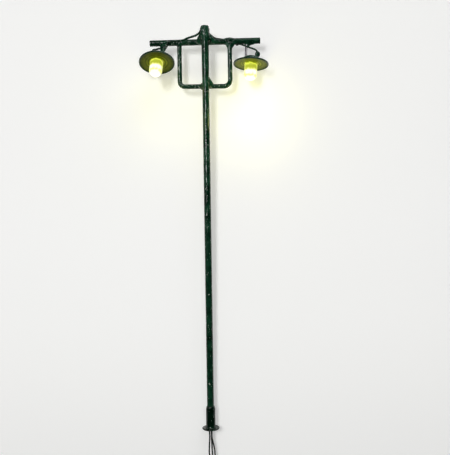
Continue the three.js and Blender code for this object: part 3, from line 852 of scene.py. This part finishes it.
def shade_underside(name, tint):
    """The shade's underside: thin green over brass, dark at the rim, with the diode's light painted on it:
    bright yellow close round the diode, fading outwards, and painted rings of its reflection.
    """
    f = Finish(name, (0.1, 0.115, 0.035), 0.4)
    f.set(Specular_IOR_Level=0.06)
    flat = f.node("ShaderNodeCombineXYZ")
    f.link(f.along("X"), flat.inputs["X"])
    f.link(f.along("Y"), flat.inputs["Y"])
    length = f.node("ShaderNodeVectorMath", operation="LENGTH")
    f.link(flat.outputs[0], length.inputs[0])
    out = f.mapped(length.outputs["Value"], LED_RADIUS * MM, SHADE_RADIUS * MM)
    # Painted light: yellow close to the diode, and rings that are painted reflections of its flange and hole.
    body = f.ramp(out, [
        (0.0, (0.3, 0.33, 0.004)), (0.08, (0.28, 0.31, 0.01)), (0.16, (0.06, 0.09, 0.004)),
        (0.28, (0.19, 0.22, 0.012)), (0.4, (0.065, 0.09, 0.005)), (0.52, (0.115, 0.135, 0.014)),
        (0.8, (0.062, 0.084, 0.01)), (0.92, (0.008, 0.02, 0.008))])
    blotches = [(place, [part * share for part in tint]) for place, share in ((0.3, 0.7), (0.7, 1.15))]
    f.feed(Base_Color=f.mix(1.0, body, f.ramp(f.speckle(0.7, 3), blotches), "MULTIPLY"),
           Roughness=f.mapped(f.speckle(0.4, 3), 0.3, 0.7, 0.3, 0.5))
    f.bump(f.speckle(0.5, 3), 0.02, 0.6)
    return f.material


# The right lamp's copy is paler and brighter: painted stronger light on that underside.
underside = {
    "left": shade_underside("shade_underside_left", (1, 1, 1)),
    "right": shade_underside("shade_underside_right", (1.6, 1.5, 3.8)),
}


def lit_lens():
    """Pale yellow resin with the lamp lit: yellow-green rings where it leaves the shade, white below them,
    and a yellow belt above its white tip. Its flanks are dimmer."""
    f = Finish("lit_lens", (0.22, 0.22, 0.03), 0.12)
    f.set(Emission_Strength=3.0, Specular_IOR_Level=0.5)
    low, high = (DOME_Z - LED_RADIUS) * MM, LED_SEAT * MM
    level = f.along("Z")
    blur = f.mapped(f.speckle(1.1, 2), 0.3, 0.7, -0.06, 0.06)
    height = f.maths("ADD", f.mapped(level, low, high), blur)
    white, belt = (0.37, 0.365, 0.32), (0.32, 0.325, 0.11)
    rings = f.ramp(height, [
        (0.0, white), (0.14, white), (0.2, belt), (0.26, belt), (0.34, white), (0.48, white),
        (0.56, (0.25, 0.26, 0.06)), (0.63, (0.13, 0.145, 0.01)), (0.7, (0.12, 0.14, 0.008)),
        (0.77, (0.17, 0.19, 0.02)), (0.85, (0.3, 0.33, 0.03)), (0.89, (0.07, 0.1, 0.0)),
        (0.93, (0.012, 0.02, 0.0))])
    hot = f.mapped(f.speckle(1.5, 1), 0.52, 0.6)
    middle = f.mapped(level, high - 2.2 * MM, high - 2.5 * MM)
    core = f.mix(f.maths("MULTIPLY", hot, middle), rings, white)
    off_axis = f.maths("ABSOLUTE", f.along("X"))
    flank = f.mapped(off_axis, 0.75 * LED_RADIUS * MM, LED_RADIUS * MM, 0, 0.8)
    f.feed(Emission_Color=f.mix(flank, core, (0.22, 0.23, 0.05)))
    return f.material


lens_glow = lit_lens()


def add_shade(lamp):
    hole, rim = SHADE_HOLE, SHADE_RADIUS
    outline = eased(
        [(hole, 0.3), (3.5, 0.2), (3.84, 0.1), (3.94, 0.0), (rim - 0.04, 0.0), (rim, 0.1), (rim - 0.03, 0.38),
         (rim - 0.2, 0.47), (2.6, 0.55), (2.1, 0.66), (hole, 0.66)],
        [0, 0.1, 0.06, 0.04, 0.04, 0.06, 0.08, 0.12, 0.2, 0.1, 0], 3)
    disc = turned(divided(outline + outline[:1], 0.35), 96, closed=True)
    shape = uneven(disc, 0.015, 1.4, 7 + lamp.hanger)
    shade = painted(lamp.name("shade_disc"), shape, lamp.name("shade"), place=lamp.shade_place)
    shade.data.materials.append(underside[lamp.side])
    for face in shade.data.polygons:
        if face.normal.z < -0.3 and face.center.to_2d().length < (rim - RIM_PAINT) * MM:
            face.material_index = 1


def add_diode(lamp):
    """The lit resin body, and the paint over its flange, which runs out on to the shade."""
    dome = []
    for i in range(DOME_STEPS + 1):
        a = math.pi / 2 * i / DOME_STEPS
        dome.append((LED_RADIUS * math.sin(a), DOME_Z - LED_RADIUS * math.cos(a)))
    body = dome + split((LED_RADIUS, DOME_Z), (LED_RADIUS, LED_SEAT), 0.3)[1:]
    flange = eased(
        [(LED_RADIUS, LED_SEAT), (LED_FLANGE_RADIUS, LED_SEAT), (LED_FLANGE_RADIUS, BODY_TOP), (0, BODY_TOP)],
        [0, 0.05, 0.12, 0])
    lens = uneven(turned(body + flange, 48), 0.01, 1.2, 11)
    piece(lamp.name("lens_body"), lens, lens_glow, "led_lens", lamp.name("lens"), place=lamp.place)

    edge = LED_FLANGE_RADIUS
    cap = eased(
        [(0, BODY_TOP + 0.16), (edge, BODY_TOP + 0.14), (edge + 0.14, BODY_TOP - 0.2),
         (edge + 0.22, LED_SEAT + 0.25), (edge + 0.9, LED_SEAT - 0.03), (edge + 0.9, LED_SEAT - 0.1),
         (0.5, LED_SEAT - 0.1)],
        [0, 0.14, 0.1, 0.3, 0, 0, 0])
    profile = divided(cap, 0.2) + [cap[-1], (0, LED_SEAT + 0.5)]
    skin = uneven(turned(profile, 56), 0.03, 0.8, 13 + lamp.hanger)
    painted(lamp.name("flange_paint"), skin, lamp.name("lens"), place=lamp.place, coat=thick_paint)


def leg_section():
    """The points round a square leg with rounded edges."""
    flat = LEG_HALF - LEG_CORNER
    section = []
    for u, v in ((1, 1), (-1, 1), (-1, -1), (1, -1)):
        for a in (-45, 0, 45):
            turn = math.atan2(v, u) + math.radians(a)
            section.append((u * flat + LEG_CORNER * math.cos(turn), v * flat + LEG_CORNER * math.sin(turn)))
    return section


def add_leads(lamp):
    """The diode's two legs, which are square wires. Both start a little inside the diode's top, though the
    real one on the cup side goes down as far as its cup.
    """
    section = leg_section()
    for leg, sign in (("cup", lamp.hanger), ("feed", -lamp.hanger)):
        bottom, top = BODY_TOP - 0.6, lamp.head if leg == "cup" else FEED_LEG_TOP
        levels = [point.z for point in straight((0, 0, bottom), (0, 0, top), 0.15)]
        verts = []
        for z in levels:
            risen = min(1, max(0, (z - BEND_LOW) / (BEND_HIGH - BEND_LOW)))
            shift = lamp.bend * risen * risen * (3 - 2 * risen) if leg == "cup" else 0
            verts += [Vector((sign * LEG_OFFSET + shift + x, y, z)) for x, y in section]
        sides = len(section)
        ends = [tuple(range(sides)), tuple(range(len(verts) - sides, len(verts)))]
        shape = uneven((verts, ends + ring_faces(sides, len(levels))), 0.008, 0.5, 61)
        piece(lamp.name(f"{leg}_leg"), shape, leg_tin, "tinned_lead", lamp.name(f"{leg}_lead"),
              place=lamp.place)


for lamp in lamps.values():
    add_shade(lamp)
    add_diode(lamp)
    add_leads(lamp)

# ---- wires held by the lamp

FIT_GAP = 0.03  # between a wire and the bar that it lies on


def on_bar(x, turn):
    """A wire's centre on the outside of the bar: turn 0 is its front, 90 its top, 180 its back."""
    away = BAR_RADIUS + WIRE_RADIUS + FIT_GAP
    a = math.radians(turn)
    return bar_point(x) + Vector((0, -away * math.cos(a), away * math.sin(a)))


def in_bore(x, y):
    """The stretch of a wire from just inside the mast's open end to the foot of the bore."""
    return [Vector((x, y, z)) for z in (91.9, 91.4, 1.5, 0.8, 0.15)]


left_ball = lamps["left"].ball()
right_ball = lamps["right"].ball()

# Each route runs from the ball of solder on its lamp, by the bar, over the mast's head and down the bore.
HELD_WIRES = {
    "left": [
        left_ball + Vector((0.1, 0.15, 0.45)),
        left_ball + Vector((0.22, 0.3, 0.85)),
        (-11.4, 1.0, 88.25),
        (-10.5, 1.7, 88.68),
        (-9.65, 1.8, 88.9),
        (-9.05, 1.5, 88.93),
        on_bar(-8.9, -55),
        on_bar(-8.8, -18),
        on_bar(-8.65, 6),
        on_bar(-8.1, 12),
        on_bar(-5.9, 16),
        on_bar(-5.0, 32),
        (-4.2, 0.8, 90.65),
        (-3.2, 0.68, 90.93),
        (-2.2, 0.45, 91.17),
        (-1.45, 0.2, 91.57),
        (-1.05, 0.02, 92.08),
        (-0.97, -0.05, 92.6),
        (-0.72, -0.1, 92.9),
        (-0.42, -0.1, 92.75),
        *in_bore(-0.3, -0.1),
    ],
    "right": [
        right_ball + Vector((-0.05, -0.02, 0.5)),
        right_ball + Vector((-0.25, -0.08, 0.82)),
        (11.35, 0.95, 87.98),
        (10.5, 0.7, 88.22),
        (9.5, 0.55, 88.55),
        (8.7, 0.75, 88.9),
        on_bar(8.0, -72),
        on_bar(7.4, -110),
        on_bar(6.9, 195),
        on_bar(6.0, 165),
        on_bar(4.4, 130),
        on_bar(3.2, 112),
        (2.3, 1.42, 90.84),
        (1.5, 1.3, 91.37),
        (1.0, 1.12, 91.82),
        (0.62, 0.92, 92.5),
        (0.38, 0.55, 92.85),
        (0.2, 0.3, 92.6),
        *in_bore(0.2, 0.28),
    ],
}

for side, route in HELD_WIRES.items():
    shape = uneven(swept(smoothed(route), WIRE_RADIUS, 12, edge=0.04), 0.01, 0.8, 17)
    piece(f"lamp_{side}_feed_wire", shape, enamel, "wire_enamel", f"lamp_{side}_wire")

# Where a brush has passed over the wires they are thick with paint. For each stretch: the lamp, its first
# and last point of the route, and how much thicker the paint is in its middle than at its ends.
THIN_COAT = 0.012
PAINTED_STRETCHES = {
    "leg_end": ("left", 1, 7, 0.03),
    "over_bar": ("left", 7, 11, 0.05),
    "off_bar": ("left", 11, 16, 0.07),
    "ball_end": ("right", 0, 6, 0.02),
}
for stretch, (side, first, last, coat) in PAINTED_STRETCHES.items():
    line = smoothed(HELD_WIRES[side])[first * SMOOTH_STEPS:last * SMOOTH_STEPS + 1]
    shape = swept(line, lambda t, c=coat: WIRE_RADIUS + THIN_COAT + c * min(1, 4 * t, 4 * (1 - t)), 12)
    painted(f"lamp_{side}_wire_paint_{stretch}", uneven(shape, 0.012, 0.6, 51), f"lamp_{side}_wire")

# ---- solder under the paint

GRAIN = 0.07


def lump(name, shape, node, seed, passes=8, bumps=0.04):
    """Solder under thick paint. More passes of smoothing run its parts further together."""
    skin = uneven(fused(shape, GRAIN, passes), bumps, 0.7, seed)
    painted(name, skin, node, coat=thick_paint)


def sheath_radius(way):
    return MAST_RADIUS + 0.02 + 0.22 * math.sin(math.pi / 2 * min(1, way * 1.9))


def add_mast_solder():
    """Solder drawn up round the mast's head, with a web down to the bar on each side, and the seal on top."""
    core = straight((0.0, -0.02, 89.4), (0.02, 0.0, MAST_TOP + 0.1), 0.2)
    sheath = swept(core, sheath_radius, 28)
    left_web = hull(((-0.15, 0.0, 92.0), 0.78), ((-0.78, 0.35, 91.0), 0.7), ((-1.28, 0.85, 90.2), 0.72),
                    ((-1.2, 1.05, 89.95), 0.8), ((0, 0.9, 89.9), 0.9))
    right_web = hull(((0.3, 0.4, 91.8), 0.6), ((1.15, 1.1, 91.05), 0.45), ((1.95, 1.3, 90.4), 0.4),
                     ((1.8, 1.2, 89.9), 0.7), ((0.2, 1.0, 89.8), 0.8))
    front = merged(hull(((-0.55, -0.4, 91.4), 0.55), ((-0.3, -0.45, 90.9), 0.42)),
                   hull(((0.4, -0.4, 92.1), 0.5), ((0.45, -0.3, 91.3), 0.55)),
                   hull(((-0.25, -0.5, 92.3), 0.42), ((0.1, -0.62, 91.75), 0.4)),
                   hull(((0.5, -0.25, 90.6), 0.62), ((0.85, 0.2, 90.1), 0.6)))
    lump("mast_bar_joint", merged(sheath, left_web, right_web, front), "mast_bar_solder", 21, 6, 0.07)

    outline = eased([(0, 92.2), (0.96, 92.2), (0.96, SEAL_TOP - 0.03), (0, SEAL_TOP)], [0, 0.05, 0.1, 0])
    beside = hull(((-0.5, -0.05, 92.55), 0.4), ((-1.05, -0.02, 91.95), 0.26))
    verts, faces = merged(turned(outline, 40), beside)
    off_centre = Vector((-0.03, 0.02, 0))
    lump("mast_mouth_seal", ([v + off_centre for v in verts], faces), "mast_seal", 22, 2, 0.03)


def add_loop_solder():
    """The lump where the loop crosses the mast, and one at each of its ends on the bar."""
    foot = LOOP_FOOT
    collar = swept(straight((0, 0.02, foot - 0.75), (0, 0.02, foot + 1.0), 0.3), 0.86, 24)
    front = hull(((0.1, -0.1, foot + 0.35), 0.78), ((-0.1, -0.12, foot - 0.3), 0.75))
    right_web = hull(((0.2, 0.4, foot + 2.1), 0.5), ((0.5, 0.8, foot + 1.2), 0.62),
                     ((1.35, LOOP_Y, foot + 0.2), 0.58), ((0.3, 0.9, foot), 0.7))
    left_nub = hull(((-0.3, 0.6, foot + 0.3), 0.7), ((-1.0, LOOP_Y - 0.05, foot), 0.62),
                    ((-0.4, 0.5, foot - 0.7), 0.55))
    lump("loop_foot_joint", merged(collar, front, right_web, left_nub), "loop_foot_solder", 23)

    z = bar_point(LOOP_LEFT).z
    left = merged(
        hull(((LOOP_LEFT, LOOP_Y - 0.02, z - 1.0), 0.56), ((LOOP_LEFT, LOOP_Y - 0.05, z - 0.25), 0.7)),
        hull(((LOOP_LEFT - 0.3, BAR_Y, z - 0.1), 0.69), ((LOOP_LEFT + 0.35, BAR_Y, z - 0.1), 0.69)))
    lump("loop_left_joint", left, "loop_left_solder", 24, 6)

    z = bar_point(LOOP_RIGHT).z
    x = LOOP_RIGHT
    right = merged(
        hull(((x, LOOP_Y, z - 2.3), 0.5), ((x, LOOP_Y, z - 1.0), 0.68)),
        hull(((x, LOOP_Y, z - 1.5), 0.56), ((x + 0.7, LOOP_Y, z - 0.65), 0.55),
             ((x - 0.45, LOOP_Y, z - 0.7), 0.55)),
        hull(((x + 0.5, LOOP_Y + 0.05, z - 0.5), 0.6), ((x + 1.7, BAR_Y, z - 0.1), 0.62),
             ((x - 1.3, BAR_Y, z - 0.02), 0.64), ((x - 0.5, BAR_Y, z - 0.4), 0.6)),
        hull(((x - 0.9, BAR_Y, z + 0.1), 0.7), ((x, BAR_Y - 0.05, z + 0.16), 0.76),
             ((x + 0.9, BAR_Y, z + 0.06), 0.7)))
    lump("loop_right_joint", right, "loop_right_solder", 25, 8)


def shifted(point, x, z):
    return point + Vector((x, 0, z))


def add_lamp_solder(lamp):
    """The saddle between the bar and the leg that hangs the lamp, and the ball on the other leg."""
    leg_x = lamp.hanger * LEG_OFFSET + lamp.bend
    leg_foot = lamp.point(leg_x, 0, 2.2)
    leg_head = lamp.point(leg_x, 0, 4)
    x = leg_head.x + (leg_head.x - leg_foot.x) * 0.3
    bar = bar_point(x)
    under = shifted(bar, 0, -BAR_RADIUS)
    if lamp.side == "right":
        saddle = merged(
            hull((shifted(under, 0, -0.75), 0.3), (shifted(bar, -0.15, -0.35), 0.42),
                 (shifted(bar, 0.9, -0.4), 0.45)),
            hull((shifted(bar, -0.4, -0.2), 0.52), (shifted(bar, 1.95, -0.12), 0.56),
                 (shifted(under, 0.35, -0.3), 0.34)))
    else:
        tip = lamp.point(leg_x, 0, BEND_HIGH)
        saddle = merged(
            hull((shifted(bar, -0.3, -0.35), 0.42), (shifted(bar, 0.85, -0.25), 0.5), (tip, 0.33)),
            hull((tip, 0.33), (lamp.point(lamp.hanger * LEG_OFFSET, 0, BEND_LOW), 0.32)))
    lump(lamp.name("saddle"), saddle, lamp.name("hanger_solder"), 27 + lamp.hanger, 6)

    centre = lamp.ball()
    foot = lamp.point(-lamp.hanger * LEG_OFFSET, 0, BODY_TOP)
    top = HELD_WIRES[lamp.side][1]
    blob = merged(hull((centre, 0.64), (shifted(centre, 0, -0.15), 0.62)),
                  hull((centre, 0.42), (foot, 0.3)), hull((centre, 0.35), (Vector(top), 0.17)))
    lump(lamp.name("solder_ball"), blob, lamp.name("feed_solder"), 31 + lamp.hanger, 5, 0.02)


add_mast_solder()
add_loop_solder()
for lamp in lamps.values():
    add_lamp_solder(lamp)

# ---- nodes that stay as they are

KEPT = {
    "lamp_left_phosphor": phosphor,
    "lamp_right_phosphor": phosphor,
    "return_wire": enamel,
    "return_solder": tin,
}
for node, material in KEPT.items():
    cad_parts[node].data.materials.clear()
    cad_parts[node].data.materials.append(material)

# ---- stage and light

BACK_FOOT = 2.0  # how far behind the mast's axis the surface lies at the flange
BACK_HEAD = 5.2  # and at the shades
HEAD_Z = 84.5
BACK_HALF = 250  # half the side of the surface


def backdrop_card():
    """White card, painted a little darker at its left and its foot as shade where less light reaches. It
    glows faintly, a little more low down than at its top, which keeps shadows pale, and from behind it can be
    seen through."""
    f = Finish("backdrop", (0.8, 0.8, 0.79), 0.95)
    f.set(Specular_IOR_Level=0.1, Emission_Strength=1.0)
    height = f.mapped(f.along("Z"), -0.01, 0.1)
    # Painted shade: darker towards the foot.
    body = f.ramp(height, [
        (0.0, (0.76, 0.76, 0.75)), (0.2, (0.8, 0.8, 0.785)), (0.5, (0.81, 0.81, 0.8)),
        (1.0, (0.79, 0.79, 0.78))])
    glow = f.ramp(height, [
        (0.0, (0.365, 0.365, 0.36)), (0.3, (0.38, 0.38, 0.375)), (0.7, (0.355, 0.355, 0.35)),
        (1.0, (0.335, 0.335, 0.33))])
    # Painted shade: darker towards the left.
    across = f.mapped(f.along("X"), -0.05, 0.05, 0.93, 1.0)
    side = f.ramp(across, [(0.0, (0.0, 0.0, 0.0)), (1.0, (1.0, 1.0, 1.0))])
    f.feed(Base_Color=f.mix(1.0, body, side, "MULTIPLY"), Emission_Color=glow)
    facing = f.node("ShaderNodeNewGeometry")
    clear = f.node("ShaderNodeBsdfTransparent")
    mix = f.node("ShaderNodeMixShader")
    f.link(facing.outputs["Backfacing"], mix.inputs[0])
    f.link(f.shader.outputs[0], mix.inputs[1])
    f.link(clear.outputs[0], mix.inputs[2])
    f.link(mix.outputs[0], f.tree.nodes["Material Output"].inputs["Surface"])
    return f.material


def add_backdrop():
    lean = Vector((0, BACK_HEAD - BACK_FOOT, HEAD_Z))
    rise = lean.normalized() * BACK_HALF * MM
    across = Vector((BACK_HALF, 0, 0)) * MM
    centre = (Vector((0, BACK_FOOT, 0)) + lean / 2) * MM
    corners = [centre + across * u + rise * v for u, v in ((-1, -1), (1, -1), (1, 1), (-1, 1))]
    mesh = bpy.data.meshes.new("backdrop")
    mesh.from_pydata(corners, [], [(0, 1, 2, 3)])
    mesh.materials.append(backdrop_card())
    shown("backdrop", mesh)


add_backdrop()


def add_light(name, kind, place, power):
    data = bpy.data.lights.new(name, kind)
    data.energy = power
    light = shown(name, data)
    light.location = Vector(place) * MM
    light.visible_camera = False
    return light


def add_area(name, place, target, size, power, mirrored=True):
    """A soft light. One that isn't mirrored lights the colours but leaves no highlight in the gloss."""
    light = add_light(name, "AREA", place, power)
    light.data.shape = "RECTANGLE"
    light.data.size, light.data.size_y = size[0] * MM, size[1] * MM
    light.rotation_mode = "QUATERNION"
    light.rotation_quaternion = (Vector(target) - Vector(place)).to_track_quat("-Z", "Y")
    light.visible_glossy = mirrored


def add_point(name, place, radius, power, colour):
    light = add_light(name, "POINT", place, power)
    light.data.color, light.data.shadow_soft_size = colour, radius * MM


add_area("key", (-120, -380, 150), (0, 0, 80), (80, 130), 0.75)
add_area("left", (-330, -230, 110), (0, 0, 50), (200, 200), 0.05)
add_area("top", (120, -200, 420), (0, 0, 50), (300, 200), 0.6)
add_area("fill", (-60, -350, 90), (0, 0, 50), (500, 500), 0.22, mirrored=False)
add_area("back", (0, 400, 60), (0, 0, 50), (500, 500), 0.6, mirrored=False)

# Each lamp has a small light close under it, and a larger one below and in front of it.
POOL_POWER = 0.0003
GLOW_POWER = {"left": 0.00085, "right": 0.0021}
for lamp in lamps.values():
    tip = lamp.point(0, 0, DOME_Z)
    add_point(lamp.name("pool"), tip + Vector((0, 0.3, -3)), 1.2, POOL_POWER, (1, 0.93, 0.25))
    add_point(lamp.name("glow"), tip + Vector((0, -4, -9)), 2, GLOW_POWER[lamp.side], (1, 0.95, 0.3))

SEEN_STRENGTH = 0.85  # the world's strength where the camera sees it
MIRRORED_STRENGTHS = (0.004, 0.001)  # and where anything else does, from its left to its right


def add_world():
    """Pale where the camera sees it, and dim with a brighter left side where the gloss mirrors it."""
    world = bpy.data.worlds.new("world")
    bpy.context.scene.world = world
    world.use_nodes = True
    nodes, links = world.node_tree.nodes, world.node_tree.links
    kinds = ("TexCoord", "SeparateXYZ", "MapRange", "LightPath", "Mix")
    direction, split_xyz, side, path, seen = (nodes.new("ShaderNode" + kind) for kind in kinds)
    side.inputs["From Min"].default_value = -1
    for end, strength in zip(("To Min", "To Max"), MIRRORED_STRENGTHS):
        side.inputs[end].default_value = strength
    seen.inputs[3].default_value = SEEN_STRENGTH
    background = nodes["Background"]
    background.inputs["Color"].default_value = (1, 1, 1, 1)
    links.new(direction.outputs["Generated"], split_xyz.inputs[0])
    links.new(split_xyz.outputs["X"], side.inputs["Value"])
    links.new(path.outputs["Is Camera Ray"], seen.inputs[0])
    links.new(side.outputs["Result"], seen.inputs[2])
    links.new(seen.outputs[0], background.inputs["Strength"])


add_world()
bpy.context.scene.view_settings.view_transform = "Standard"
